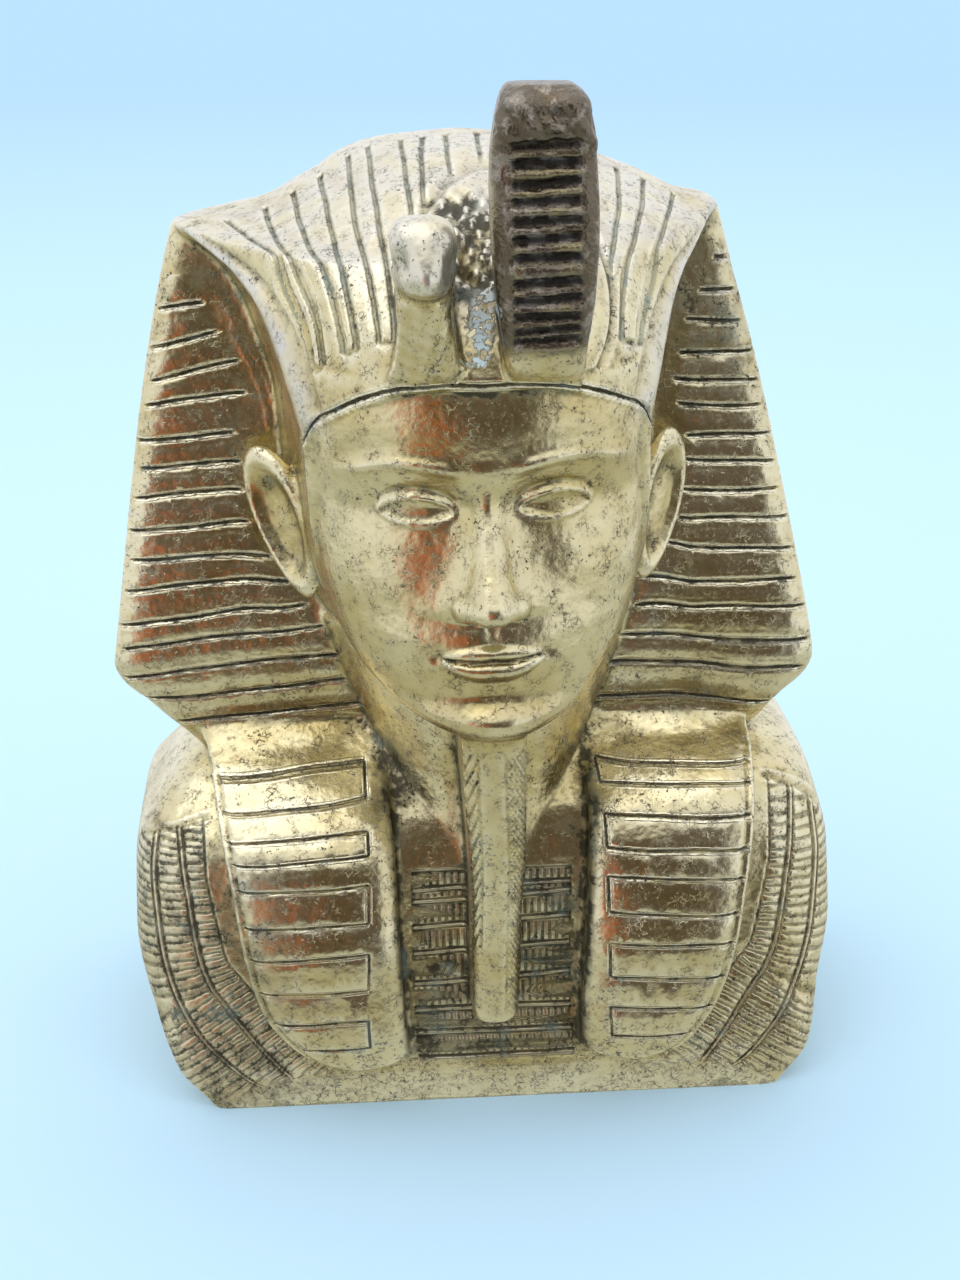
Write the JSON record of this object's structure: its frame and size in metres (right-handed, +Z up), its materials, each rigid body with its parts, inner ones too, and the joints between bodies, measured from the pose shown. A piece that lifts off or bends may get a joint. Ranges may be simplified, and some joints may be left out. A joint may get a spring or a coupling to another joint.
{
  "type": "pharaoh bust",
  "caption": "Cast bust of a pharaoh in a striped head-cloth with brow cobra and vulture head, long beard, collar and flat foot.",
  "frame": {"origin": "on the underside, in the middle of the foot", "axes": "+Z up, the face looks along -Y, +X is the viewer's right"},
  "size_m": [0.2043, 0.1644, 0.29],
  "materials": {
    "cast_bronze": "cast, worn and rubbed bright on the high parts, dark in the cut lines"
  },
  "bodies": {
    "root": {"pharaoh_bust": "cast_bronze"}
  },
  "joints": []
}
